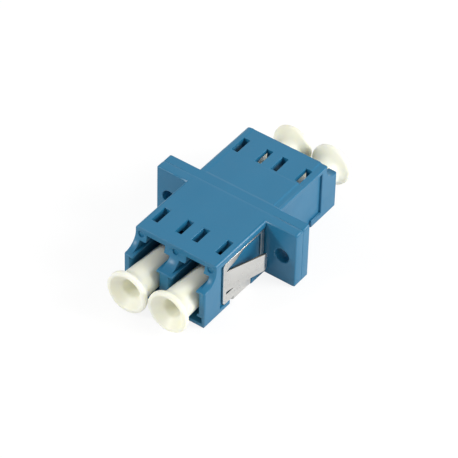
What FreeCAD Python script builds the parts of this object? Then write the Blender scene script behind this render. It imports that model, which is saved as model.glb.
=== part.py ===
import FreeCAD, Part
import math
import os

# LC duplex fibre adapter with a two-hole flange of SC size, a spring panel clip and four dust caps.
#
# Frame, in millimetres: +Z is up, X runs along the flange and Y along the fibres. The origin lies
# under the middle of the adapter, on the plane it rests on. The two housing halves are alike but
# for the foot of the clip recess, and are welded together at Y = 0. Each piece is drawn on the
# +Y side; what belongs to the front (-Y) is turned half a turn about Z afterwards.

V = FreeCAD.Vector
OUT_DIR = "parts"

# ---- Ports, which take LC plugs ----------------------------------------------------------------
port_pitch = 6.25          # between the two fibre axes
port_width = 4.66          # square bore for a plug body
lead_in = 0.12             # widening of the bore at its mouth, each side
lead_in_length = 0.5
lip_reach = 0.45           # guide lips under the latch ears
lip_thickness = 0.30
lip_rise = 0.27            # from the top of the bore to the top of the lips
ear_slot_height = 1.10     # slot for the latch ears, as wide as the bore
key_slot_width = 2.80      # slot for the latch arm
key_slot_rise = 1.05
latch_slot_length = 8.0    # ear and key slots, from the port mouth inwards
toe_reach = 0.25           # small rib at the foot of each side wall
toe_height = 0.55          # from the top of the foot pocket upwards
foot_reach = 0.47          # pocket across the foot of each mouth, past the bore on each side
foot_depth = 2.0
foot_drop = 0.32           # below the floor of the bore
foot_rise = 0.58           # above the floor of the bore

# ---- Housing half ------------------------------------------------------------------------------
bottom_wall = 1.07
side_wall = 0.945
top_wall = 0.85
half_length = 14.65        # from the weld to the port mouths
mouth_step = 2.45          # the top ends this far behind the mouths
scoop_radius = 2.15        # hollow curve from the top's end down to the ledge
back_wall = 1.6            # from the weld to the floor of the bores
bottom_round = 0.35
top_round = 0.40
mouth_round = 0.30
top_sink = 0.08            # middle of the top lies lower than its side strips
top_strip = 1.0
window_width = 0.92        # latch windows through the top
window_length = 2.8
window_setback = 2.15      # from the top's end to the latch catch
pin_mark_dia = 0.9         # ejector pin marks on the end face of the top
pin_mark_depth = 0.15
pin_mark_drop = 1.05       # below the top
pin_mark_offset = 5.45     # outer marks, from the middle

# ---- Flange ------------------------------------------------------------------------------------
screw_pitch = 18.0
screw_hole_dia = 2.2
flange_end = 2.15          # from a hole's centre to the end of the flange
flange_half_thickness = 1.55
flange_corner = 0.35
flange_edge_break = 0.22
weld_bevel = 0.05          # along the ends of the weld face, which leaves a fine seam

# ---- Sleeve and the barrel that holds it -------------------------------------------------------
ferrule_dia = 1.25
sleeve_wall = 0.185
sleeve_length = 6.8
sleeve_slit = 0.25
sleeve_gap = 0.05          # round the sleeve, and at each end of it
barrel_wall = 0.50
barrel_nose = 0.9          # end of the barrel that keeps the sleeve in
nose_hole_gap = 0.08       # round the ferrule
nose_flare = 0.30

# ---- Panel clip, one folded sheet, and the recess it lies in ------------------------------------
sheet = 0.25
clip_gap = 0.05            # between the sheet and the floor of its recess
clip_sink = 0.02           # the sheet lies this far below the housing's surface
recess_end_gap = 1.05      # from the top's end to the recess
recess_low = 0.85          # foot of the recess on the clip's half of the housing
recess_low_plain = 1.25    # and on the other half
recess_top_gap = 1.00      # from the top to the recess
clip_seat_gap = 0.05       # between the sheet and the ledges above and below it
clip_mouth_gap = 0.60      # at the end of the recess
clip_flange_gap = 0.26     # at the flange
clip_bend = 0.35           # inner radius where the sheet turns under the housing
clip_corner = 0.35
strap_width = 3.6
strap_setback = 2.4        # from the mouth end of the clip to the strap
strap_mouth_gap = 0.85     # between the strap and the mouth end of its slot
strap_flange_gap = 0.15    # and the flange end
top_rail = 0.28            # strip of sheet above the window
low_rail = 1.58            # strip of sheet under the spring arm
leg_width = 0.61           # leg that hangs beside the flange
leg_lift = 0.9             # the leg ends this far above the lower edge
window_drop = 1.25         # the window narrows this much from the rail to its tip
window_taper = 3.55        # length over which it narrows
window_nose = 0.30         # height of its blunt tip
window_nose_length = 0.45
window_waist = 1.75        # from the tip to the bend in its upper edge
window_waist_rise = 0.46   # from the tip up to that bend
arm_root_setback = 0.60    # from the mouth end of the clip to the arm's root
arm_slit = 0.32
arm_height = 3.55
arm_taper_high = 0.25      # the arm's end is this much lower at its top
arm_taper_low = 0.41       # and this much higher at its foot
arm_reach = 1.70           # how far the arm stands out where its lip starts
arm_bend_radius = 3.5
lip_gap = 2.65             # from the flange to where the lip starts
lip_bend_radius = 1.0
lip_bend_angle = 55.0
lip_corner = 0.9

# ---- Dust cap ----------------------------------------------------------------------------------
cap_standout = 3.75        # from the port mouth to the cap's rim
cap_insert = 5.75          # from the port mouth to the cap's inner end
cap_gap = 0.18             # between the plug and the bore
rim_dia = 6.14
rim_band = 0.70
rim_lip = 0.55             # width of the flat ring round the dish
flare_length = 1.45
flare_steps = ((0.0, 0.0), (0.33, 0.16), (0.68, 0.48), (1.0, 1.0))  # shares of length and rise
dish_depth = 1.10
dish_hole_dia = 2.62
dish_hole_depth = 3.1
cap_wall = 0.65
cap_web = 0.65             # between the dish's hole and the hollow of the plug
cap_end_bevel = 0.25
cap_pull = 0.25            # the front left cap stands out this much further than the others
cap_push = 0.20            # and the front right cap this much less

# ---- Worked out from the sizes above -----------------------------------------------------------
port_half = port_width / 2
key_half = key_slot_width / 2
port_axis_z = bottom_wall + port_half
lip_top = port_axis_z + port_half + lip_rise
ear_slot_top = lip_top + ear_slot_height
key_slot_top = ear_slot_top + key_slot_rise
body_height = key_slot_top + top_wall
body_half_width = port_pitch / 2 + port_half + side_wall
top_end = half_length - mouth_step
recess_end = top_end - recess_end_gap
recess_high = body_height - recess_top_gap
recess_depth = clip_gap + sheet + clip_sink
recess_floor = body_half_width - recess_depth
catch_y = top_end - window_setback
latch_slot_end = half_length - latch_slot_length
flange_half_width = screw_pitch / 2 + flange_end
port_centres = (-port_pitch / 2, port_pitch / 2)

sleeve_outer_r = ferrule_dia / 2 + sleeve_wall
barrel_bore_r = sleeve_outer_r + sleeve_gap
barrel_r = barrel_bore_r + barrel_wall
sleeve_room = sleeve_length / 2 + sleeve_gap
barrel_end = sleeve_room + barrel_nose
nose_hole_r = ferrule_dia / 2 + nose_hole_gap

clip_mouth_end = recess_end - clip_mouth_gap
clip_flange_end = flange_half_thickness + clip_flange_gap
clip_low = recess_low + clip_seat_gap
clip_high = recess_high - clip_seat_gap
strap_far = clip_mouth_end - strap_setback
strap_near = strap_far - strap_width
arm_root = clip_mouth_end - arm_root_setback
arm_low = clip_low + low_rail + arm_slit

REACH = 60.0               # longer than the adapter, for cuts that run right through


# ---- Helpers -----------------------------------------------------------------------------------
def box(x0, x1, y0, y1, z0, z1):
    return Part.makeBox(x1 - x0, y1 - y0, z1 - z0, V(x0, y0, z0))


def prism(points, along):
    """Closed outline through the points, drawn out by the vector along."""
    return Part.Face(Part.makePolygon(points + points[:1])).extrude(along)


def rounded_plate(half_width, z_low, z_high, r_low, r_high, y0, y1):
    """Block between y0 and y1 whose lower and upper long edges are rounded."""
    block = box(-half_width, half_width, y0, y1, z_low, z_high)
    for level, radius in ((z_low, r_low), (z_high, r_high)):
        if radius:
            edges = [e for e in block.Edges if along_y_at(e, half_width, level)]
            block = block.makeFillet(radius, edges)
    return block


def along_y_at(edge, half_width, level):
    """True for a straight edge along Y at plus or minus half_width and the given height."""
    first, last = edge.Vertexes[0].Point, edge.Vertexes[-1].Point
    return (abs(first.y - last.y) > 1e-6 and abs(abs(first.x) - half_width) < 1e-6
            and abs(first.z - level) < 1e-6 and abs(last.z - level) < 1e-6)


def edges_on_y(shape, y):
    """The edges that lie in the plane at the given Y."""
    return [e for e in shape.Edges if all(abs(v.Y - y) < 1e-6 for v in e.Vertexes)]


def to_front(shape):
    """The same piece on the front half: turned half a turn about Z."""
    return shape.rotated(V(0, 0, 0), V(0, 0, 1), 180)


# ---- Housing half ------------------------------------------------------------------------------
def side_outline():
    """The housing seen from the side: mouth, ledge, hollow scoop and top, as a face at X = 0."""
    scoop_y = top_end + scoop_radius
    scoop_z = lip_top + scoop_radius
    lean = scoop_radius * math.sqrt(0.5)
    corner = half_length - mouth_round
    bend = mouth_round * (1 - math.sqrt(0.5))
    edges = [
        Part.LineSegment(V(0, 0, 0), V(0, corner, 0)),
        Part.Arc(V(0, corner, 0), V(0, half_length - bend, bend), V(0, half_length, mouth_round)),
        Part.LineSegment(V(0, half_length, mouth_round), V(0, half_length, lip_top)),
        Part.LineSegment(V(0, half_length, lip_top), V(0, scoop_y, lip_top)),
        Part.Arc(V(0, scoop_y, lip_top), V(0, scoop_y - lean, scoop_z - lean),
                 V(0, top_end, scoop_z)),
        Part.LineSegment(V(0, top_end, scoop_z), V(0, top_end, body_height)),
        Part.LineSegment(V(0, top_end, body_height), V(0, 0, body_height)),
        Part.LineSegment(V(0, 0, body_height), V(0, 0, 0)),
    ]
    return Part.Face(Part.Wire([e.toShape() for e in edges]))


def body_block():
    """Outer form of the half without its flange: side outline, round long edges, round mouth."""
    side = side_outline()
    side.translate(V(-body_half_width, 0, 0))
    block = side.extrude(V(2 * body_half_width, 0, 0))
    block = block.common(
        rounded_plate(body_half_width, 0, body_height, bottom_round, top_round, 0, half_length))
    plan = box(-body_half_width, body_half_width, 0, half_length, 0, body_height)
    upright = [e for e in plan.Edges
               if all(abs(v.Y - half_length) < 1e-6 for v in e.Vertexes)
               and abs(e.Vertexes[0].Z - e.Vertexes[1].Z) > 1e-6]
    return block.common(plan.makeFillet(mouth_round, upright))


def flange():
    """Half the thickness of the flange, with rounded corners and a fine bevel at the weld."""
    plate = rounded_plate(flange_half_width, 0, body_height, flange_corner, flange_corner,
                          0, flange_half_thickness)
    ends = [e for e in edges_on_y(plate, 0)
            if all(abs(abs(v.X) - flange_half_width) < 1e-6 for v in e.Vertexes)]
    plate = plate.makeChamfer(weld_bevel, ends)
    plate = plate.makeChamfer(flange_edge_break, edges_on_y(plate, flange_half_thickness))
    return plate.cut([screw_hole(side * screw_pitch / 2) for side in (-1, 1)])


def screw_hole(x):
    """A plain hole through one half of the flange."""
    return Part.makeCylinder(screw_hole_dia / 2, REACH, V(x, -REACH / 2, body_height / 2),
                             V(0, 1, 0))


def port_space(x):
    """All that is open inside one port, apart from the windows above it."""
    floor_z = port_axis_z - port_half
    toe_z = floor_z + foot_rise
    lip_under = lip_top - lip_thickness
    lip_half = port_half - lip_reach
    toe_half = port_half - toe_reach
    half = [
        V(port_half, 0, floor_z), V(port_half, 0, toe_z),
        V(toe_half, 0, toe_z), V(toe_half, 0, toe_z + toe_height / 2),
        V(port_half, 0, toe_z + toe_height), V(port_half, 0, lip_under),
        V(lip_half, 0, lip_under), V(lip_half, 0, lip_top),
        V(port_half, 0, lip_top), V(port_half, 0, ear_slot_top),
        V(key_half, 0, ear_slot_top), V(key_half, 0, key_slot_top),
    ]
    other = [V(-p.x, 0, p.z) for p in reversed(half)]
    slots = prism(half + other, V(0, REACH, 0))
    slots.translate(V(x, latch_slot_end, 0))
    bore = box(x - port_half, x + port_half, back_wall, latch_slot_end,
               floor_z, port_axis_z + port_half)
    foot_half = port_half + foot_reach
    foot = box(x - foot_half, x + foot_half, half_length - foot_depth, REACH,
               floor_z - foot_drop, toe_z)
    return slots.fuse([bore, foot, mouth_lead_in(x)])


def mouth_lead_in(x):
    """Taper that guides a plug body into the bore."""
    low = port_axis_z - port_half + foot_rise + toe_height
    high = lip_top - lip_thickness
    loops = []
    for y, half in ((half_length - lead_in_length, port_half),
                    (half_length, port_half + lead_in)):
        corners = [V(x - half, y, low), V(x + half, y, low),
                   V(x + half, y, high), V(x - half, y, high)]
        loops.append(Part.makePolygon(corners + corners[:1]))
    return Part.makeLoft(loops, True)


def sleeve_barrel(x):
    """Tube on the floor of the bore that holds half of the alignment sleeve."""
    return Part.makeCylinder(barrel_r, barrel_end, V(x, 0, port_axis_z), V(0, 1, 0))


def barrel_bore(x):
    """Room for the sleeve, the ferrule hole in the barrel's nose and its flared entry."""
    centre = V(x, 0, port_axis_z)
    room = Part.makeCylinder(barrel_bore_r, sleeve_room, centre, V(0, 1, 0))
    hole = Part.makeCylinder(nose_hole_r, barrel_end, centre, V(0, 1, 0))
    flare = Part.makeCone(nose_hole_r, nose_hole_r + nose_flare, nose_flare,
                          V(x, barrel_end - nose_flare, port_axis_z), V(0, 1, 0))
    return room.fuse([hole, flare])


def latch_windows(x):
    """Two slots through the top, beside the key slot, behind which the latch ears catch."""
    return [box(x + side * key_half - (window_width if side < 0 else 0),
                x + side * key_half + (window_width if side > 0 else 0),
                catch_y - window_length, catch_y, lip_top, REACH) for side in (-1, 1)]


def clip_recess(low):
    """Pockets on both sides for the clip, down to low, and the slot that its strap lies in."""
    outside = body_half_width + 1
    pockets = [box(side_x, side_x + outside - recess_floor, flange_half_thickness, recess_end,
                   low, recess_high) for side_x in (-outside, recess_floor)]
    slot = box(-outside, outside, strap_near - strap_flange_gap, strap_far + strap_mouth_gap,
               -1, low)
    core = rounded_plate(recess_floor, recess_depth, low + 1, clip_bend + clip_gap, 0,
                         0, half_length)
    return pockets + [slot.cut(core)]


def top_details():
    """The sunk middle of the top, and the ejector pin marks on its end face."""
    half = body_half_width - top_strip
    cuts = [box(-half, half, flange_half_thickness, REACH,
                body_height - top_sink, REACH)]
    for x in (-pin_mark_offset, 0, pin_mark_offset):
        cuts.append(Part.makeCylinder(pin_mark_dia / 2, REACH,
                                      V(x, top_end - pin_mark_depth, body_height - pin_mark_drop),
                                      V(0, 1, 0)))
    return cuts


def housing_half(low):
    """One moulded half, whose clip recess reaches down to low."""
    shell = body_block().fuse(flange())
    for x in port_centres:
        shell = shell.cut(port_space(x).cut(sleeve_barrel(x)))
        shell = shell.cut([barrel_bore(x)] + latch_windows(x))
    return shell.cut(clip_recess(low) + top_details()).removeSplitter()


# ---- Alignment sleeve --------------------------------------------------------------------------
def alignment_sleeve(x):
    """Zirconia tube, slit along its length so that it springs onto the ferrules."""
    start = V(x, -sleeve_length / 2, port_axis_z)
    tube = Part.makeCylinder(sleeve_outer_r, sleeve_length, start, V(0, 1, 0))
    tube = tube.cut(Part.makeCylinder(ferrule_dia / 2, sleeve_length, start, V(0, 1, 0)))
    return tube.cut(box(x - sleeve_slit / 2, x + sleeve_slit / 2, -sleeve_length, sleeve_length,
                        port_axis_z, port_axis_z + 2 * sleeve_outer_r))


# ---- Panel clip --------------------------------------------------------------------------------
def clip_blank_outline():
    """The clip seen from the side: rails, leg and strap round the window of the spring arm."""
    rail_low = clip_high - top_rail
    window_tip = rail_low - window_drop
    arm_floor = arm_low - arm_slit
    leg_inner = clip_flange_end + leg_width
    return [V(0, y, z) for y, z in (
        (clip_mouth_end, clip_low + clip_corner), (clip_mouth_end, clip_high - clip_corner),
        (clip_mouth_end - clip_corner, clip_high), (clip_flange_end, clip_high),
        (clip_flange_end, clip_low + leg_lift), (leg_inner, clip_low + leg_lift),
        (leg_inner, rail_low), (arm_root - window_taper, rail_low),
        (arm_root - window_waist, window_tip + window_waist_rise),
        (arm_root - window_nose_length, window_tip + window_nose), (arm_root, window_tip),
        (arm_root, arm_floor), (strap_near, arm_floor), (strap_near, -1), (strap_far, -1),
        (strap_far, clip_low), (clip_mouth_end - clip_corner, clip_low))]


def folded_blank():
    """The sheet folded under the housing: two side plates joined by the strap."""
    outer_half = recess_floor + clip_gap + sheet
    strap_top = recess_depth - clip_gap
    outer = rounded_plate(outer_half, strap_top - sheet, body_height, clip_bend + sheet, 0,
                          0, half_length)
    inner = rounded_plate(outer_half - sheet, strap_top, body_height, clip_bend, 0,
                          0, half_length)
    outline = prism(clip_blank_outline(), V(REACH, 0, 0))
    outline.translate(V(-REACH / 2, 0, 0))
    return outer.cut(inner).common(outline)


def bent_strip(start, heading, steps, z0, z1):
    """Strip of sheet on edge: straight runs and bends, each (length) or (radius, angle)."""
    pieces = []
    at = start
    for step in steps:
        left = V(-math.sin(heading), math.cos(heading), 0)
        if len(step) == 1:
            ahead = V(math.cos(heading), math.sin(heading), 0) * step[0]
            edge = left * (sheet / 2)
            corners = [at - edge, at + ahead - edge, at + ahead + edge, at + edge]
            pieces.append(prism([V(p.x, p.y, z0) for p in corners], V(0, 0, z1 - z0)))
            at = at + ahead
        else:
            radius, angle = step[0], math.radians(step[1])
            turn = 1 if angle > 0 else -1
            centre = at + left * (radius * turn)
            base = V(centre.x, centre.y, z0)
            ring = Part.makeCylinder(radius + sheet / 2, z1 - z0, base, V(0, 0, 1), abs(step[1]))
            ring = ring.cut(Part.makeCylinder(radius - sheet / 2, z1 - z0, base))
            spoke = at - centre
            bearing = math.atan2(spoke.y, spoke.x)
            ring.rotate(base, V(0, 0, 1), math.degrees(bearing + min(angle, 0)))
            pieces.append(ring)
            at = centre + V(math.cos(bearing + angle), math.sin(bearing + angle), 0) * radius
            heading += angle
    return pieces[0].fuse(pieces[1:])


def spring_arm():
    """Arm on the +X side: bent out from the plate, tapered, with its end curled back in."""
    start_x = recess_floor + clip_gap + sheet / 2
    lip_y = flange_half_thickness + lip_gap
    run = arm_root - lip_y
    offset = arm_reach - arm_bend_radius
    length = math.sqrt(offset ** 2 + run ** 2 - arm_bend_radius ** 2)
    lean = math.degrees(math.atan2(length, -arm_bend_radius) - math.atan2(run, offset))
    overlap = arm_root_setback / 3
    strip = bent_strip(V(start_x, arm_root + overlap, 0), -math.pi / 2,
                       [(overlap,), (arm_bend_radius, lean), (length,),
                        (lip_bend_radius, -lip_bend_angle)],
                       arm_low, arm_low + arm_height)
    return strip.common(arm_outline(lip_y, lean))


def arm_outline(lip_y, lean):
    """The arm seen from the side: it tapers towards its end, which has round corners."""
    turn = math.sin(math.radians(lean)) + math.sin(math.radians(lip_bend_angle - lean))
    tip_y = lip_y - lip_bend_radius * turn
    share = (arm_root - tip_y) / (arm_root - lip_y)
    top = arm_low + arm_height
    blade = prism([V(0, arm_root, arm_low), V(0, arm_root, top),
                   V(0, tip_y, top - arm_taper_high * share),
                   V(0, tip_y, arm_low + arm_taper_low * share)], V(REACH, 0, 0))
    blade = blade.makeFillet(lip_corner, [e for e in blade.Edges
                                          if all(abs(v.Y - tip_y) < 1e-6 for v in e.Vertexes)
                                          and abs(e.Length - REACH) < 1e-6])
    return blade.fuse(box(0, REACH, arm_root, clip_mouth_end, arm_low, top))


def panel_clip():
    arm = spring_arm()
    other = arm.mirror(V(0, 0, 0), V(1, 0, 0))
    return folded_blank().fuse([arm, other]).removeSplitter()


# ---- Dust cap ----------------------------------------------------------------------------------
def dust_cap():
    """Turned form on the Y axis: dished rim, flare and hollow plug."""
    rim_y = half_length + cap_standout
    inner_y = half_length - cap_insert
    rim_r = rim_dia / 2
    plug_r = port_half - cap_gap
    band_y = rim_y - rim_band
    root_y = band_y - flare_length
    dish_y = rim_y - dish_depth
    hole_r = dish_hole_dia / 2
    hole_y = rim_y - dish_hole_depth
    hollow_y = hole_y - cap_web
    hollow_r = plug_r - cap_wall
    flare = [V(plug_r + rise * (rim_r - plug_r), root_y + along * flare_length, 0)
             for along, rise in flare_steps]
    corners = flare + [
        V(rim_r, rim_y, 0), V(rim_r - rim_lip, rim_y, 0), V(hole_r, dish_y, 0),
        V(hole_r, hole_y, 0), V(0, hole_y, 0), V(0, hollow_y, 0), V(hollow_r, hollow_y, 0),
        V(hollow_r, inner_y, 0), V(plug_r - cap_end_bevel, inner_y, 0),
        V(plug_r, inner_y + cap_end_bevel, 0)]
    outline = Part.Face(Part.makePolygon(corners + corners[:1]))
    return outline.revolve(V(0, 0, 0), V(0, 1, 0), 360)


def rear_cap(x, out=0.0):
    """A cap in one of the rear ports, pulled out a little or pushed further in."""
    return dust_cap().translated(V(x, out, port_axis_z))


# ---- The assembly ------------------------------------------------------------------------------
def pieces():
    left, right = port_centres
    return {
        "rear_housing": housing_half(recess_low_plain),
        "front_housing": to_front(housing_half(recess_low)),
        "left_sleeve": alignment_sleeve(left),
        "right_sleeve": alignment_sleeve(right),
        "panel_clip": to_front(panel_clip()),
        "rear_left_cap": rear_cap(left),
        "rear_right_cap": rear_cap(right),
        "front_left_cap": to_front(rear_cap(right, cap_pull)),
        "front_right_cap": to_front(rear_cap(left, -cap_push)),
    }


def main():
    os.makedirs(OUT_DIR, exist_ok=True)
    for name, shape in pieces().items():
        shape.exportStep(os.path.join(OUT_DIR, name + ".step"))
        print(name, "solids", len(shape.Solids), "valid", shape.isValid(),
              "volume", round(shape.Volume, 2))


main()
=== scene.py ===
import math

import bmesh
import bpy
from bpy.props import FloatProperty, FloatVectorProperty, IntProperty, PointerProperty
from mathutils import Matrix, Vector
from mathutils.bvhtree import BVHTree
from mathutils.geometry import intersect_point_line


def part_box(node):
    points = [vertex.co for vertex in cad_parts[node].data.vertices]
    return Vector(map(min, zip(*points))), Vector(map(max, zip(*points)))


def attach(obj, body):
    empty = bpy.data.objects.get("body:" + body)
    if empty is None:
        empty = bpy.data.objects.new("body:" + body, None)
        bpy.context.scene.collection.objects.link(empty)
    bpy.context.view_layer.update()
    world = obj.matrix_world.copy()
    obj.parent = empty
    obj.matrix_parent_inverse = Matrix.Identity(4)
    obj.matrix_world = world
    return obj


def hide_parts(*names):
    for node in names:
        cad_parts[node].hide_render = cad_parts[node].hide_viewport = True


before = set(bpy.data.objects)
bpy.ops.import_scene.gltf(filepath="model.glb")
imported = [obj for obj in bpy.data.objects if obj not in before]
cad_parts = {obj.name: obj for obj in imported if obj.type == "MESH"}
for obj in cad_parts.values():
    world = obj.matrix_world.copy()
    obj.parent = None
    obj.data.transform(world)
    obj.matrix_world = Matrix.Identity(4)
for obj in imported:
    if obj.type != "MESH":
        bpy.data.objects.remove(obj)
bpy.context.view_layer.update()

# Looks of an LC duplex fibre adapter: two welded housing halves, a spring panel clip, two
# alignment sleeves and four dust caps. Everything is in metres, in the frame of the CAD model:
# +Z up, X along the flange, Y along the fibres, the front ports towards -Y.

bl_info = {
    "name": "Fibre Adapter Looks",
    "version": (1, 0, 0),
    "blender": (4, 5, 0),
    "location": "View3D > Sidebar > Adapter",
    "description": "Finishes the housings, clip, sleeves and dust caps of a duplex fibre adapter",
    "category": "Object",
}

MM = 0.001

# The housings' top, in mm. The middle of the CAD model's top is sunk. Here it is filled, and the
# whole top gets a gentle relief.
TOP = 9.0
SUNK_TOP = 8.92
LEVEL_SLACK = 0.005       # how far from its level a point of the sunk middle may lie
SINK_HALF_WIDTH = 5.5
SINK_START = 1.54         # from the weld to the sunk middle of each half
RELIEF_DEPTH = 0.4        # the relief has faded out this far below the top
RELIEF_FOOT = TOP - RELIEF_DEPTH
LEAST_UPWARD = 0.05       # a face of the top leans up at least this much
CUT_SNAP = 0.0002 * MM    # points nearer to a cut than this lie on it
# The relief: heights at places along Y. Four rows to a step keep it soft.
FRONT_TOP = ((-0.45, 9.0), (0.0, 8.93))
REAR_TOP = (
    (0.0, 8.93), (1.28, 8.968),                                  # up from the weld,
    (1.36, 8.97), (1.44, 8.955), (1.66, 8.915), (1.74, 8.90),    # down behind the flange
    (6.74, 8.90), (6.80, 8.89), (6.98, 8.86), (7.04, 8.85),      # and down to the windows
)
# Drops at places along X: a raised strip on the left and a low one on the right.
REAR_STRIPS = (
    (-5.57, -0.05), (-5.50, -0.04), (-5.33, -0.01), (-5.26, 0.0),
    (5.20, 0.0), (5.26, 0.032), (5.42, 0.118), (5.48, 0.15),
)
STRIPS_START = 1.36       # the strips grow out of the flange's rear face
STRIPS_RUN_IN = 0.38

# Each housing's shell and the relief of its top, lengthways and sideways
HOUSINGS = {
    "rear_housing": ("rear_shell", REAR_TOP, REAR_STRIPS),
    "front_housing": ("front_shell", FRONT_TOP, ()),
}
SLEEVES = ("left_sleeve", "right_sleeve")
CAPS = {  # how each cap sits in its port: degrees nose-up, degrees towards +X
    "front_left_cap": (2.5, 0.0), "front_right_cap": (1.5, -0.7),
    "rear_left_cap": (0.0, 1.2), "rear_right_cap": (0.0, 2.0),
}

# Edges of the housings and the clip
DOUBLE = 0.002 * MM                # points of a node nearer than this are one
FLAT_ANGLE = math.radians(0.5)     # triangles of a node that turn by less are one flat
ARRIS_ANGLE = math.radians(60)     # an outward edge that turns by more is rounded,
WELD_PLANE = 0.1 * MM              # unless it lies nearer to the weld than this
STRAIGHT_ON = -0.9                 # cosine: edges that meet flatter than this are one long one
FREE_SHARE = 0.80                  # how much of the room beside an edge its round may take
SHARED_SHARE = 0.35                # the same where the far side is rounded as well
ROUNDING_TRIALS = 3
FOLD_DEPTH = 0.06 * MM             # a round that leaves the old surface by more is at fault
FOLD_RANGE = 0.12 * MM             # how far round a triangle the old surface is looked at
FAULT_REACH = 1.5                  # edges this many widths from a fault stay sharp,
FAULT_MARGIN = 0.05 * MM           # and this much further
SMALLEST_SIDE = 0.01 * MM          # smaller triangles are not judged
SLIVER = 0.0005 * MM               # points that rounding makes nearer than this are one
ROUND_FLAT_ANGLE = math.radians(0.03)    # triangles it makes that turn by less are one flat
SMOOTH_ANGLE = math.radians(50)    # an edge that turns by less is shaded smoothly
GROOVE = 0.06 * MM                 # size of the weld's groove
GROOVE_FLAT = 10.6 * MM            # how far out the groove crosses flats only
PLATE_INSIDE = 6.25 * MM           # from the middle to the clip's side plates
CUT_EDGE_UPWARD = 0.75             # their cut edges face up or down at least this much

# Dust caps
LIP_SINK = 0.07 * MM      # the inner edge of the raised ring lies this far behind its face
LIP_SLOPE = 0.05 * MM     # and this far inside its flat
BELLY_PLACE = 0.42        # where the flare turns into the neck, as a share of its length
BELLY_SHARE = 0.30        # how much of the rim's overhang is left there
BELLY_ROUND = 0.5 * MM
NECK_ROUND = 0.4 * MM
PLUG_MIDDLE = 6.95 * MM   # from the rim's face to the middle of the plug

# Studio
SENSOR = 36               # width of the camera's sensor, mm
CLIP_NEAR, CLIP_FAR = 0.01, 20
FLOOR_SIDE = 4.0
KEY_PLACE, KEY_SIZE = (0.275, 0.125, 0.165), 0.16
FILL_PLACE, FILL_SIZE = (-0.175, -0.240, 0.195), 0.06
SEEN_FLOOR = (0.16, 0.86)          # paint and glow of the floor where it is looked at
MIRRORED_FLOOR = (0.70, 0.36)      # the same where a gloss or a glass shows it


# ---- Settings a user would change ---------------------------------------------------------------
def length(name, description, default):
    return FloatProperty(name=name, description=description, default=default, min=0.0,
                         subtype="DISTANCE", unit="LENGTH")


def colour(name, description, default):
    return FloatVectorProperty(name=name, description=description, default=default, size=3,
                               min=0.0, max=1.0, subtype="COLOR")


def angle(name, description, degrees):
    return FloatProperty(name=name, description=description, default=math.radians(degrees),
                         subtype="ANGLE", unit="ROTATION")


class AdapterSizes(bpy.types.PropertyGroup):
    """Finishing sizes that the CAD model leaves out or the dust caps are turned to"""
    shell_edge: length("Housing edge", "Rounding of the moulded edges", 0.13 * MM)
    clip_edge: length("Clip edge", "Rounding of the stamped sheet's edges", 0.05 * MM)
    rim_lip: length("Rim lip", "Width of the raised ring round a cap's dish", 0.55 * MM)
    rim_band: length("Rim band", "Thickness of a cap's rim", 0.70 * MM)
    rim_round: length("Rim round", "Rounding of a cap's rim", 0.14 * MM)
    flare: length("Flare", "Length of the flare behind a cap's rim", 1.45 * MM)
    plug_radius: length("Plug radius", "Radius of a cap's plug", 2.14 * MM)
    plug_taper: length("Plug taper", "How much the plug's inner end is smaller", 0.16 * MM)
    plug_wall: length("Plug wall", "Wall of a cap's hollow plug", 0.60 * MM)
    dish: length("Dish", "Depth of the dish in a cap's rim", 1.10 * MM)
    hole_radius: length("Hole radius", "Radius of the hole in a cap's dish", 1.31 * MM)
    hole_depth: length("Hole depth", "Depth of the hole from the rim", 3.10 * MM)
    web: length("Web", "Between the dish's hole and the hollow of the plug", 0.65 * MM)
    cap_sides: IntProperty(name="Cap sides", description="Points round a cap's cage", default=40,
                           min=12, max=96)


class AdapterColours(bpy.types.PropertyGroup):
    """Base colours, linear"""
    housing: colour("Housing", "Blue moulded plastic", (0.010, 0.156, 0.295))
    housing_deep: colour("Housing, deep", "Darker flow of the same plastic",
                         (0.008, 0.146, 0.280))
    cap: colour("Cap", "Natural translucent plastic", (0.875, 0.875, 0.775))
    cap_deep: colour("Cap, deep", "Yellower parts of the cap", (0.855, 0.85, 0.72))
    clip: colour("Clip", "Stainless spring sheet", (0.66, 0.65, 0.625))
    # dark on the sheared edges: partly their duller cut finish, partly painted shade of the slits
    # behind the sheet
    clip_edge: colour("Clip edge", "Sheared edges of the sheet", (0.20, 0.17, 0.13))
    sleeve: colour("Sleeve", "Zirconia", (0.86, 0.86, 0.82))
    floor: colour("Floor", "Pale plain floor", (0.85, 0.85, 0.85))


class AdapterStudio(bpy.types.PropertyGroup):
    """Where the camera stands and how bright the lamps are"""
    azimuth: angle("Azimuth", "Camera's bearing, from -Y towards +X", 35.0844)
    elevation: angle("Elevation", "Camera's height above the horizon", 42.8288)
    roll: angle("Roll", "Camera's turn about its own axis", 1.5948)
    distance: length("Distance", "From the camera to the point it looks at", 387.2345 * MM)
    across: FloatProperty(name="Across", description="Aim, to the camera's right",
                          default=-0.2911 * MM, subtype="DISTANCE", unit="LENGTH")
    above: FloatProperty(name="Above", description="Aim, upwards in the picture",
                         default=2.1644 * MM, subtype="DISTANCE", unit="LENGTH")
    lens: FloatProperty(name="Lens", description="Focal length on a 36 mm sensor",
                        default=233.055, subtype="DISTANCE_CAMERA", unit="CAMERA")
    key_power: FloatProperty(name="Key lamp", description="Large lamp above and to the right",
                             default=1.02, min=0.0, unit="POWER")
    fill_power: FloatProperty(name="Fill lamp", description="Weak lamp at the front",
                              default=0.54, min=0.0, unit="POWER")
    sky: FloatProperty(name="Sky", description="Even light from all round", default=0.45, min=0.0)


# ---- Bench work: selecting, cleaning and finishing a mesh ---------------------------------------
def select_only(piece):
    bpy.ops.object.select_all(action="DESELECT")
    piece.select_set(True)
    bpy.context.view_layer.objects.active = piece


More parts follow.
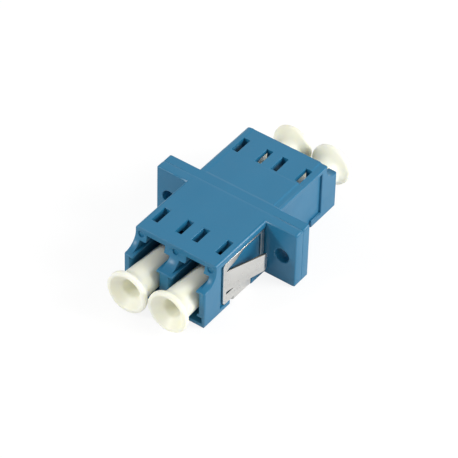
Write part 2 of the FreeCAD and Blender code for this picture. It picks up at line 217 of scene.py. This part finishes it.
def apply_modifier(piece, name, kind, **settings):
    """Adds one modifier, sets it and applies it."""
    select_only(piece)
    modifier = piece.modifiers.new(name, kind)
    for key, value in settings.items():
        setattr(modifier, key, value)
    bpy.ops.object.modifier_apply(modifier=modifier.name)


def merge_faces(piece):
    """Joins doubled points and makes whole faces of the triangles on each flat."""
    select_only(piece)
    bpy.ops.object.mode_set(mode="EDIT")
    bpy.ops.mesh.select_all(action="SELECT")
    bpy.ops.mesh.remove_doubles(threshold=DOUBLE)
    bpy.ops.mesh.dissolve_limited(angle_limit=FLAT_ANGLE)
    bpy.ops.object.mode_set(mode="OBJECT")


def copy_of_node(node, name):
    """A new piece with a copy of a node's surface, its triangles merged into whole faces."""
    piece = bpy.data.objects.new(name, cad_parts[node].data.copy())
    bpy.context.scene.collection.objects.link(piece)
    select_only(piece)
    bpy.ops.mesh.customdata_custom_splitnormals_clear()
    merge_faces(piece)
    return piece


def is_arris(edge):
    """True for a sharp outward edge, other than one on the weld plane between the halves."""
    return (edge.is_manifold and edge.is_convex and edge.calc_face_angle() > ARRIS_ANGLE
            and max(abs(vertex.co.y) for vertex in edge.verts) > WELD_PLANE)


def room_to_round(edge):
    """How far a round may reach from an edge before it runs over its neighbours' ends, or
    over the round of the edge at a neighbour's far end."""
    room = 1.0
    for vertex in edge.verts:
        inward = (edge.other_vert(vertex).co - vertex.co).normalized()
        for other in vertex.link_edges:
            far = other.other_vert(vertex)
            away = far.co - vertex.co
            runs_on = is_arris(other) and away.normalized().dot(inward) < STRAIGHT_ON
            if other is not edge and not runs_on:
                shared = any(is_arris(third) for third in far.link_edges if third is not other)
                share = SHARED_SHARE if shared else FREE_SHARE
                room = min(room, away.cross(inward).length * share)
    return room


def folded_spots(mesh, surface):
    """Places where rounds have run over each other, judged by the surface before rounding."""
    form = bmesh.new()
    form.from_mesh(mesh)
    spots = [vertex.co.copy() for vertex in form.verts
             if surface.find_nearest(vertex.co)[3] > FOLD_DEPTH]
    for corners in form.calc_loop_triangles():
        first, second, third = (corner.vert.co for corner in corners)
        normal = (second - first).cross(third - first)
        if normal.length > SMALLEST_SIDE ** 2:
            middle = (first + second + third) / 3
            near = surface.find_nearest_range(middle, FOLD_RANGE)
            if all(hit[1].dot(normal) < 0 for hit in near):
                spots.append(middle)
    form.free()
    return spots


def passes_near(edge, spots, reach):
    """True where an edge runs within reach of one of the spots."""
    start, end = (vertex.co for vertex in edge.verts)
    for spot in spots:
        share = intersect_point_line(spot, start, end)[1]
        if (start.lerp(end, min(1.0, max(0.0, share))) - spot).length < reach:
            return True
    return False


def drop_slivers(piece):
    """Splits the surface into triangles, joins the points that rounding left on top of each
    other, drops the triangles of no width between them and makes whole faces of the flats."""
    form = bmesh.new()
    form.from_mesh(piece.data)
    bmesh.ops.triangulate(form, faces=form.faces)
    bmesh.ops.remove_doubles(form, verts=form.verts, dist=SLIVER)
    bmesh.ops.dissolve_degenerate(form, dist=SLIVER, edges=form.edges)
    bmesh.ops.dissolve_limit(form, angle_limit=ROUND_FLAT_ANGLE, verts=form.verts,
                             edges=form.edges)
    form.to_mesh(piece.data)
    form.free()


def soften_edges(piece, width):
    """Rounds the outward edges, leaves out those that would run over each other, and keeps
    the flats flat."""
    sharp = piece.data.copy()
    form = bmesh.new()
    form.from_mesh(sharp)
    surface = BVHTree.FromBMesh(form)
    weight = form.edges.layers.float.new("bevel_weight_edge")
    for edge in filter(is_arris, form.edges):
        edge[weight] = min(1.0, room_to_round(edge) / width)
    reach = FAULT_REACH * width + FAULT_MARGIN
    for _ in range(ROUNDING_TRIALS):
        piece.data = sharp.copy()
        form.to_mesh(piece.data)
        apply_modifier(piece, "Edges", "BEVEL", width=width, segments=2, limit_method="WEIGHT",
                       use_clamp_overlap=False)
        spots = folded_spots(piece.data, surface)
        for edge in form.edges:
            if edge[weight] and passes_near(edge, spots, reach):
                edge[weight] = 0.0
    form.free()
    drop_slivers(piece)
    select_only(piece)
    bpy.ops.object.shade_smooth_by_angle(angle=SMOOTH_ANGLE)
    apply_modifier(piece, "Flats", "WEIGHTED_NORMAL", keep_sharp=True, weight=50,
                   mode="FACE_AREA")


def dress(piece, body, slot, material, *nodes):
    """Gives a finished piece its material and body, and hides what it stands for."""
    piece.data.materials.clear()
    piece.data.materials.append(material)
    if nodes:
        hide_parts(*nodes)
    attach(piece, body)


# ---- Materials ----------------------------------------------------------------------------------
def shaded(shade, share):
    """A colour at a share of its strength."""
    return [share * part for part in shade]


class Nodes:
    """Short calls for building a node tree."""
    noise_middle = (0.3, 0.7)     # most values of a noise lie between these

    def __init__(self, name):
        self.material = bpy.data.materials.new(name)
        self.material.use_nodes = True
        self.tree = self.material.node_tree
        self.shader = self.tree.nodes["Principled BSDF"]
        coordinates = self.add("ShaderNodeTexCoord")
        self.place = coordinates.outputs["Object"]
        self.facing = coordinates.outputs["Normal"]

    def add(self, kind, **settings):
        node = self.tree.nodes.new(kind)
        for key, value in settings.items():
            setattr(node, key, value)
        return node

    def link(self, source, target):
        self.tree.links.new(source, target)

    def stretched(self, scale):
        """Object coordinates multiplied along each axis."""
        mapping = self.add("ShaderNodeMapping")
        mapping.inputs["Scale"].default_value = scale
        self.link(self.place, mapping.inputs["Vector"])
        return mapping.outputs["Vector"]

    def noise(self, scale, detail=3.0, roughness=0.5, vector=None):
        """Noise whose features are about 1 / scale metres wide."""
        node = self.add("ShaderNodeTexNoise")
        node.inputs["Scale"].default_value = scale
        node.inputs["Detail"].default_value = detail
        node.inputs["Roughness"].default_value = roughness
        self.link(vector or self.place, node.inputs["Vector"])
        return node.outputs["Fac"]

    def ramp(self, source, low, high):
        """Spreads a noise's middle values over low to high."""
        node = self.add("ShaderNodeMapRange")
        node.inputs["From Min"].default_value = self.noise_middle[0]
        node.inputs["From Max"].default_value = self.noise_middle[1]
        node.inputs["To Min"].default_value = low
        node.inputs["To Max"].default_value = high
        self.link(source, node.inputs["Value"])
        return node.outputs["Result"]

    def feed(self, source, target):
        """Links a socket to an input, or sets the input to a number or a colour."""
        if isinstance(source, bpy.types.NodeSocket):
            self.link(source, target)
        elif target.type == "RGBA":
            target.default_value = (*source, 1.0)
        else:
            target.default_value = source

    def math(self, operation, first, second=0.0):
        node = self.add("ShaderNodeMath", operation=operation)
        self.feed(first, node.inputs[0])
        self.feed(second, node.inputs[1])
        return node.outputs[0]

    def blend(self, factor, first, second):
        """Mixes two colours by a factor."""
        node = self.add("ShaderNodeMix", data_type="RGBA")
        sockets = {socket.identifier: socket for socket in node.inputs}
        self.feed(factor, sockets["Factor_Float"])
        self.feed(first, sockets["A_Color"])
        self.feed(second, sockets["B_Color"])
        return next(socket for socket in node.outputs if socket.identifier == "Result_Color")

    def bump(self, heights):
        """Chains bumps, each a height and its depth in metres, into the shader's normal."""
        previous = None
        for height, depth in heights:
            node = self.add("ShaderNodeBump")
            node.inputs["Distance"].default_value = depth
            self.link(height, node.inputs["Height"])
            if previous:
                self.link(previous, node.inputs["Normal"])
            previous = node.outputs["Normal"]
        self.link(previous, self.shader.inputs["Normal"])

    def set(self, **values):
        for key, value in values.items():
            self.shader.inputs[key.replace("_", " ")].default_value = value


def housing_plastic(colours):
    """Satin moulded plastic: slow flow shades, fine spark-eroded grain and slight sink marks."""
    nodes = Nodes("housing_plastic")
    flow = nodes.noise(180, detail=2.0, vector=nodes.stretched((1.0, 0.45, 1.0)))
    nodes.link(nodes.blend(nodes.ramp(flow, 0.0, 1.0), colours.housing, colours.housing_deep),
               nodes.shader.inputs["Base Color"])
    haze = nodes.noise(420, detail=4.0)
    nodes.link(nodes.ramp(haze, 0.32, 0.42), nodes.shader.inputs["Roughness"])
    sinks = nodes.noise(260, detail=1.0)
    grain = nodes.noise(9000, detail=2.0)
    nodes.bump([(sinks, 0.012 * MM), (grain, 0.0012 * MM)])
    nodes.set(IOR=1.52, Specular_IOR_Level=0.42, Sheen_Weight=0.10, Sheen_Roughness=0.45)
    return nodes.material


def cap_plastic(colours):
    """Natural polyethylene: milky, with light passing into it, and a soft waxy gloss."""
    nodes = Nodes("cap_plastic")
    cloud = nodes.noise(300, detail=3.0)
    nodes.link(nodes.blend(nodes.ramp(cloud, 0.0, 1.0), colours.cap, colours.cap_deep),
               nodes.shader.inputs["Base Color"])
    wax = nodes.noise(700, detail=3.0)
    nodes.link(nodes.ramp(wax, 0.36, 0.48), nodes.shader.inputs["Roughness"])
    waves = nodes.noise(500, detail=2.0)
    grain = nodes.noise(7000, detail=2.0)
    nodes.bump([(waves, 0.010 * MM), (grain, 0.0010 * MM)])
    nodes.set(IOR=1.50, Subsurface_Weight=1.0, Subsurface_Radius=(1.0, 0.95, 0.75),
              Subsurface_Scale=0.7 * MM)
    return nodes.material


def cut_edge_and_painted_shade(nodes):
    """1 on the upper and lower cut edges of the clip's side plates, 0 elsewhere: where the duller
    cut finish and painted shade of the slits darken the sheet.
    """
    facing = nodes.add("ShaderNodeSeparateXYZ")
    nodes.link(nodes.facing, facing.inputs[0])
    place = nodes.add("ShaderNodeSeparateXYZ")
    nodes.link(nodes.place, place.inputs[0])
    upright = nodes.math("GREATER_THAN", nodes.math("ABSOLUTE", facing.outputs["Z"]),
                         CUT_EDGE_UPWARD)
    outboard = nodes.math("GREATER_THAN", nodes.math("ABSOLUTE", place.outputs["X"]),
                          PLATE_INSIDE)
    return nodes.math("MULTIPLY", upright, outboard)


def spring_steel(colours):
    """Stainless sheet with fine rolling lines along its length, and sheared edges painted dark:
    partly their duller cut finish, partly painted shade of the slits behind them.
    """
    nodes = Nodes("spring_steel")
    rolled = nodes.noise(900, detail=4.0, vector=nodes.stretched((1.0, 0.06, 1.0)))
    sheet = nodes.blend(nodes.ramp(rolled, 0.0, 1.0), colours.clip, shaded(colours.clip, 0.93))
    # painted shade: the cut edges take the dark edge colour, partly for their duller finish and
    # partly for the shade in the slits
    nodes.link(nodes.blend(cut_edge_and_painted_shade(nodes), sheet, colours.clip_edge),
               nodes.shader.inputs["Base Color"])
    haze = nodes.noise(1500, detail=3.0)
    nodes.link(nodes.ramp(haze, 0.26, 0.36), nodes.shader.inputs["Roughness"])
    grain = nodes.noise(8000, detail=1.0)
    nodes.bump([(rolled, 0.0016 * MM), (grain, 0.0008 * MM)])
    nodes.set(Metallic=1.0)
    return nodes.material


def zirconia(colours):
    """Dense white ceramic, ground and polished."""
    nodes = Nodes("zirconia")
    cloud = nodes.ramp(nodes.noise(900), 0.0, 1.0)
    nodes.link(nodes.blend(cloud, colours.sleeve, shaded(colours.sleeve, 0.95)),
               nodes.shader.inputs["Base Color"])
    haze = nodes.noise(3000)
    nodes.link(nodes.ramp(haze, 0.10, 0.18), nodes.shader.inputs["Roughness"])
    ground = nodes.noise(4000, detail=1.0, vector=nodes.stretched((1.0, 0.05, 1.0)))
    nodes.bump([(ground, 0.0006 * MM)])
    nodes.set(IOR=2.1)
    return nodes.material


# ---- Housings, clip and sleeves -----------------------------------------------------------------
def close_weld_groove(shell):
    """Squares this half's edge of the weld's groove on the flat top and underside."""
    for vertex in shell.data.vertices:
        in_flat = abs(vertex.co.x) < GROOVE_FLAT and abs(vertex.co.y) < GROOVE
        for level in (0.0, TOP * MM):
            if in_flat and abs(vertex.co.z - level) < GROOVE:
                vertex.co.y, vertex.co.z = 0.0, level


def along_profile(profile, place):
    """The value of a profile, given as (place, value) pairs, at a place."""
    if place <= profile[0][0]:
        return profile[0][1]
    for (start, low), (end, high) in zip(profile, profile[1:]):
        if place <= end:
            return low + (high - low) * (place - start) / (end - start)
    return profile[-1][1]


def cut_top(form, direction, profile):
    """Cuts the level and leaning faces of the top across a direction, at every point of a
    profile along it."""
    for place, _ in profile:
        faces = [face for face in form.faces
                 if face.normal.z > LEAST_UPWARD
                 and face.calc_center_median().z > RELIEF_FOOT * MM]
        geometry = set(faces)
        for face in faces:
            geometry.update(face.edges, face.verts)
        bmesh.ops.bisect_plane(form, geom=list(geometry), dist=CUT_SNAP,
                               plane_co=direction * place * MM, plane_no=direction)


def fill_sink(shell):
    """Lifts the sunk middle of the top to the level of its edges."""
    for vertex in shell.data.vertices:
        sunk = abs(vertex.co.z - SUNK_TOP * MM) < LEVEL_SLACK * MM
        inside = abs(vertex.co.x) < SINK_HALF_WIDTH * MM and abs(vertex.co.y) > SINK_START * MM
        if sunk and inside:
            vertex.co.z = TOP * MM
    merge_faces(shell)


def shape_top(shell, lengthways, sideways):
    """Gives the top its gentle relief: a height for every place lengthways, less a drop for
    every place sideways behind the flange."""
    form = bmesh.new()
    form.from_mesh(shell.data)
    cut_top(form, Vector((0, 1, 0)), lengthways)
    cut_top(form, Vector((1, 0, 0)), sideways)
    for vertex in form.verts:
        if vertex.co.z > RELIEF_FOOT * MM:
            place = vertex.co / MM
            height = along_profile(lengthways, place.y)
            if sideways:
                share = min(1.0, max(0.0, (place.y - STRIPS_START) / STRIPS_RUN_IN))
                height -= share * along_profile(sideways, place.x)
            rise = (place.z - RELIEF_FOOT) * (height - RELIEF_FOOT) / RELIEF_DEPTH
            vertex.co.z = (RELIEF_FOOT + rise) * MM
    form.to_mesh(shell.data)
    form.free()


class ADAPTER_OT_housings(bpy.types.Operator):
    """Copy both housing halves, round their moulded edges and give them blue plastic"""
    bl_idname = "adapter.housings"
    bl_label = "Housings"

    def execute(self, context):
        plastic = housing_plastic(context.scene.adapter_colours)
        for node, (name, lengthways, sideways) in HOUSINGS.items():
            shell = copy_of_node(node, name)
            close_weld_groove(shell)
            fill_sink(shell)
            shape_top(shell, lengthways, sideways)
            soften_edges(shell, context.scene.adapter_sizes.shell_edge)
            dress(shell, "adapter", "housing", plastic, node)
        return {"FINISHED"}


class ADAPTER_OT_clip(bpy.types.Operator):
    """Copy the folded panel clip, break its stamped edges and give it rolled stainless"""
    bl_idname = "adapter.clip"
    bl_label = "Panel clip"

    def execute(self, context):
        clip = copy_of_node("panel_clip", "spring_clip")
        soften_edges(clip, context.scene.adapter_sizes.clip_edge)
        dress(clip, "adapter", "clip", spring_steel(context.scene.adapter_colours),
              "panel_clip")
        return {"FINISHED"}


class ADAPTER_OT_sleeves(bpy.types.Operator):
    """Give both alignment sleeves polished zirconia"""
    bl_idname = "adapter.sleeves"
    bl_label = "Alignment sleeves"

    def execute(self, context):
        ceramic = zirconia(context.scene.adapter_colours)
        for node in SLEEVES:
            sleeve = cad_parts[node]
            sleeve.material_slots[0].material = ceramic
        return {"FINISHED"}


# ---- Dust caps ----------------------------------------------------------------------------------
def rounded_corner(before, corner, after, reach):
    """Two cage points that hold the round of a corner: reach short of it and past it."""
    points = []
    for other in (before, after):
        along = Vector(other) - Vector(corner)
        points.append(tuple(Vector(corner) + along.normalized() * min(reach, along.length / 3)))
    return points


def cap_stations(sizes, rim_radius, length_over_all):
    """Cage of a cap from the middle of its hole, out over the rim and along to its hollow.

    A corner is (distance behind the rim's face, radius, how far its round reaches), and each
    station (distance, radius)."""
    lip_radius = rim_radius - sizes.rim_lip
    neck = sizes.rim_band + sizes.flare
    hollow = sizes.hole_depth + sizes.web
    inner = sizes.plug_radius - sizes.plug_taper - sizes.plug_wall
    belly = sizes.plug_radius + (rim_radius - sizes.plug_radius) * BELLY_SHARE
    reach = sizes.rim_round
    corners = [
        (sizes.hole_depth, 0.0, reach),
        (sizes.hole_depth, sizes.hole_radius, reach),
        (sizes.dish, sizes.hole_radius, reach),
        (LIP_SINK, lip_radius, reach),
        (0.0, lip_radius + LIP_SLOPE, reach),
        (0.0, rim_radius, reach),
        (sizes.rim_band, rim_radius, reach),
        (sizes.rim_band + sizes.flare * BELLY_PLACE, belly, BELLY_ROUND),
        (neck, sizes.plug_radius, NECK_ROUND),
        (length_over_all, sizes.plug_radius - sizes.plug_taper, reach),
        (length_over_all, inner, reach),
        (hollow, inner, reach),
        (hollow, 0.0, reach),
    ]
    stations = [corners[0][:2]]
    for before, corner, after in zip(corners, corners[1:], corners[2:]):
        stations += rounded_corner(before[:2], corner[:2], after[:2], corner[2])
    return stations + [corners[-1][:2]]


def turn_on_lathe(name, centre, outwards, stations, sides):
    """A solid of revolution about Y: one ring is extruded and resized from station to station.

    outwards is +1 where the rim faces +Y and -1 where it faces -Y."""
    first_back, first_radius = stations[1]
    bpy.ops.object.select_all(action="DESELECT")
    bpy.ops.mesh.primitive_circle_add(
        vertices=sides, radius=first_radius, fill_type="TRIFAN",
        location=centre - Vector((0, outwards * first_back, 0)),
        rotation=(math.radians(90), 0, 0))
    piece = bpy.context.object
    piece.name = piece.data.name = name
    bpy.ops.object.transform_apply(location=True, rotation=True, scale=True)
    bpy.ops.object.mode_set(mode="EDIT")
    bpy.ops.mesh.select_mode(type="EDGE")
    bpy.ops.mesh.select_all(action="DESELECT")
    bpy.ops.mesh.select_non_manifold()
    for (back, radius), (next_back, next_radius) in zip(stations[1:-2], stations[2:-1]):
        bpy.ops.mesh.extrude_region_move(
            TRANSFORM_OT_translate={"value": (0, outwards * (back - next_back), 0)})
        middle = centre - Vector((0, outwards * next_back, 0))
        ratio = next_radius / radius
        bpy.ops.transform.resize(value=(ratio, 1, ratio), center_override=middle)
    bpy.ops.mesh.edge_face_add()
    bpy.ops.mesh.poke()
    bpy.ops.mesh.select_all(action="SELECT")
    bpy.ops.mesh.normals_make_consistent(inside=False)
    bpy.ops.object.mode_set(mode="OBJECT")
    return piece


def settle(cap, centre, outwards, nose_up, aside, rim_radius):
    """Tips a cap about the middle of its plug, and keeps its rim as far out as before."""
    pivot = centre - Vector((0, outwards * PLUG_MIDDLE, 0))
    select_only(cap)
    bpy.ops.object.mode_set(mode="EDIT")
    bpy.ops.mesh.select_all(action="SELECT")
    bpy.ops.transform.rotate(value=-outwards * math.radians(nose_up), orient_axis="X",
                             center_override=pivot)
    bpy.ops.transform.rotate(value=outwards * math.radians(aside), orient_axis="Z",
                             center_override=pivot)
    lean = math.sin(math.radians(math.hypot(nose_up, aside))) * rim_radius
    bpy.ops.transform.translate(value=(0, -outwards * lean, 0))
    bpy.ops.object.mode_set(mode="OBJECT")


class ADAPTER_OT_caps(bpy.types.Operator):
    """Turn the four dust caps with their flared rims, dishes and hollow plugs"""
    bl_idname = "adapter.caps"
    bl_label = "Dust caps"

    def execute(self, context):
        sizes = context.scene.adapter_sizes
        plastic = cap_plastic(context.scene.adapter_colours)
        for node, (nose_up, aside) in CAPS.items():
            low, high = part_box(node)
            outwards = 1 if node.startswith("rear") else -1
            centre = (low + high) / 2
            centre.y = high.y if outwards > 0 else low.y
            rim_radius = (high.x - low.x) / 2
            stations = cap_stations(sizes, rim_radius, high.y - low.y)
            cap = turn_on_lathe(node.replace("cap", "dust_cap"), centre, outwards, stations,
                                sizes.cap_sides)
            apply_modifier(cap, "Round", "SUBSURF", levels=2, render_levels=2)
            settle(cap, centre, outwards, nose_up, aside, rim_radius)
            select_only(cap)
            bpy.ops.object.shade_smooth()
            dress(cap, node, "cap", plastic, node)
        return {"FINISHED"}


# ---- Stage --------------------------------------------------------------------------------------
def place_camera(studio):
    """Stands the camera at its bearing, height and distance, turned by its roll."""
    azimuth, elevation = studio.azimuth, studio.elevation
    back = Vector((math.sin(azimuth) * math.cos(elevation),
                   -math.cos(azimuth) * math.cos(elevation), math.sin(elevation)))
    level_right = Vector((math.cos(azimuth), math.sin(azimuth), 0.0))
    level_up = back.cross(level_right)
    right = level_right * math.cos(studio.roll) + level_up * math.sin(studio.roll)
    up = back.cross(right)
    target = right * studio.across + up * studio.above
    turn = Matrix((right, up, back)).transposed()
    bpy.ops.object.camera_add(location=target + back * studio.distance,
                              rotation=turn.to_euler())
    camera = bpy.context.object
    camera.name = "camera"
    camera.data.lens = studio.lens
    camera.data.sensor_width = SENSOR
    camera.data.clip_start = CLIP_NEAR
    camera.data.clip_end = CLIP_FAR
    bpy.context.scene.camera = camera


def softbox(name, location, size, power):
    """Hangs a square lamp that shines at the middle of the object."""
    bpy.ops.object.light_add(type="AREA", location=location)
    lamp = bpy.context.object
    lamp.name = name
    lamp.data.shape = "SQUARE"
    lamp.data.size = size
    lamp.data.energy = power
    lamp.rotation_mode = "QUATERNION"
    lamp.rotation_quaternion = (-lamp.location).to_track_quat("-Z", "Y")


def seen_directly(tree):
    """Nodes' outputs: 1 for rays straight from the camera, and 1 for reflections and glass."""
    path = tree.nodes.new("ShaderNodeLightPath")
    mirrored = tree.nodes.new("ShaderNodeMath")
    mirrored.operation = "MAXIMUM"
    tree.links.new(path.outputs["Is Glossy Ray"], mirrored.inputs[0])
    tree.links.new(path.outputs["Is Transmission Ray"], mirrored.inputs[1])
    return path.outputs["Is Camera Ray"], mirrored.outputs[0]


def switch(tree, factor, plain, shown):
    """Picks the shader shown where the factor is 1, and plain elsewhere."""
    mix = tree.nodes.new("ShaderNodeMixShader")
    tree.links.new(factor, mix.inputs[0])
    tree.links.new(plain, mix.inputs[1])
    tree.links.new(shown, mix.inputs[2])
    return mix.outputs[0]


def white_sky(strength):
    """Even pale light all round, which shows as plain white behind the object."""
    world = bpy.data.worlds.new("studio")
    bpy.context.scene.world = world
    world.use_nodes = True
    tree = world.node_tree
    even = tree.nodes["Background"]
    white = tree.nodes.new("ShaderNodeBackground")
    for background, brightness in ((even, strength), (white, 1.0)):
        background.inputs["Color"].default_value = (1.0, 1.0, 1.0, 1.0)
        background.inputs["Strength"].default_value = brightness
    camera, mirrored = seen_directly(tree)
    result = switch(tree, mirrored, even.outputs[0], white.outputs[0])
    result = switch(tree, camera, result, white.outputs[0])
    tree.links.new(result, tree.nodes["World Output"].inputs["Surface"])


def glowing_paint(tree, paint, glow):
    """Diffuse paint of one grey with an even glow added."""
    thin = tree.nodes.new("ShaderNodeBsdfDiffuse")
    thin.inputs["Color"].default_value = (paint, paint, paint, 1.0)
    lit = tree.nodes.new("ShaderNodeEmission")
    lit.inputs["Strength"].default_value = glow
    both = tree.nodes.new("ShaderNodeAddShader")
    tree.links.new(thin.outputs[0], both.inputs[0])
    tree.links.new(lit.outputs[0], both.inputs[1])
    return both.outputs[0]


def floor_paint(colour_of_floor):
    """Pale floor that shows nearly white, and keeps a soft shadow under the object."""
    material = bpy.data.materials.new("floor")
    material.use_nodes = True
    tree = material.node_tree
    paint = tree.nodes["Principled BSDF"]
    paint.inputs["Base Color"].default_value = (*colour_of_floor, 1.0)
    paint.inputs["Roughness"].default_value = 0.9
    camera, mirrored = seen_directly(tree)
    result = switch(tree, mirrored, paint.outputs[0], glowing_paint(tree, *MIRRORED_FLOOR))
    result = switch(tree, camera, result, glowing_paint(tree, *SEEN_FLOOR))
    tree.links.new(result, tree.nodes["Material Output"].inputs["Surface"])
    return material


class ADAPTER_OT_stage(bpy.types.Operator):
    """Lay a pale floor, hang the lamps and stand the camera"""
    bl_idname = "adapter.stage"
    bl_label = "Stage"

    def execute(self, context):
        studio = context.scene.adapter_studio
        bpy.ops.object.select_all(action="DESELECT")
        bpy.ops.mesh.primitive_plane_add(size=FLOOR_SIDE)
        floor = bpy.context.object
        floor.name = "floor"
        floor.data.materials.append(floor_paint(context.scene.adapter_colours.floor))
        white_sky(studio.sky)
        softbox("key_lamp", KEY_PLACE, KEY_SIZE, studio.key_power)
        softbox("fill_lamp", FILL_PLACE, FILL_SIZE, studio.fill_power)
        place_camera(studio)
        context.scene.view_settings.view_transform = "Standard"
        return {"FINISHED"}


# ---- Panel and registration ---------------------------------------------------------------------
OPERATORS = (ADAPTER_OT_housings, ADAPTER_OT_clip, ADAPTER_OT_sleeves, ADAPTER_OT_caps,
             ADAPTER_OT_stage)


class ADAPTER_PT_build(bpy.types.Panel):
    """Lists the steps and the settings"""
    bl_idname = "ADAPTER_PT_build"
    bl_label = "Fibre adapter"
    bl_space_type = "VIEW_3D"
    bl_region_type = "UI"
    bl_category = "Adapter"

    def draw(self, context):
        for operator in OPERATORS:
            self.layout.operator(operator.bl_idname)
        for settings in (context.scene.adapter_sizes, context.scene.adapter_colours,
                         context.scene.adapter_studio):
            column = self.layout.column(align=True)
            for key in settings.bl_rna.properties.keys():
                if key not in ("rna_type", "name"):
                    column.prop(settings, key)


GROUPS = {"adapter_sizes": AdapterSizes, "adapter_colours": AdapterColours,
          "adapter_studio": AdapterStudio}


def register():
    for cls in (*GROUPS.values(), *OPERATORS, ADAPTER_PT_build):
        bpy.utils.register_class(cls)
    for name, group in GROUPS.items():
        setattr(bpy.types.Scene, name, PointerProperty(type=group))


def unregister():
    for name in GROUPS:
        delattr(bpy.types.Scene, name)
    for cls in reversed((*GROUPS.values(), *OPERATORS, ADAPTER_PT_build)):
        bpy.utils.unregister_class(cls)


def main():
    register()
    bpy.ops.adapter.housings()
    bpy.ops.adapter.clip()
    bpy.ops.adapter.sleeves()
    bpy.ops.adapter.caps()
    bpy.ops.adapter.stage()


if __name__ == "__main__":
    main()
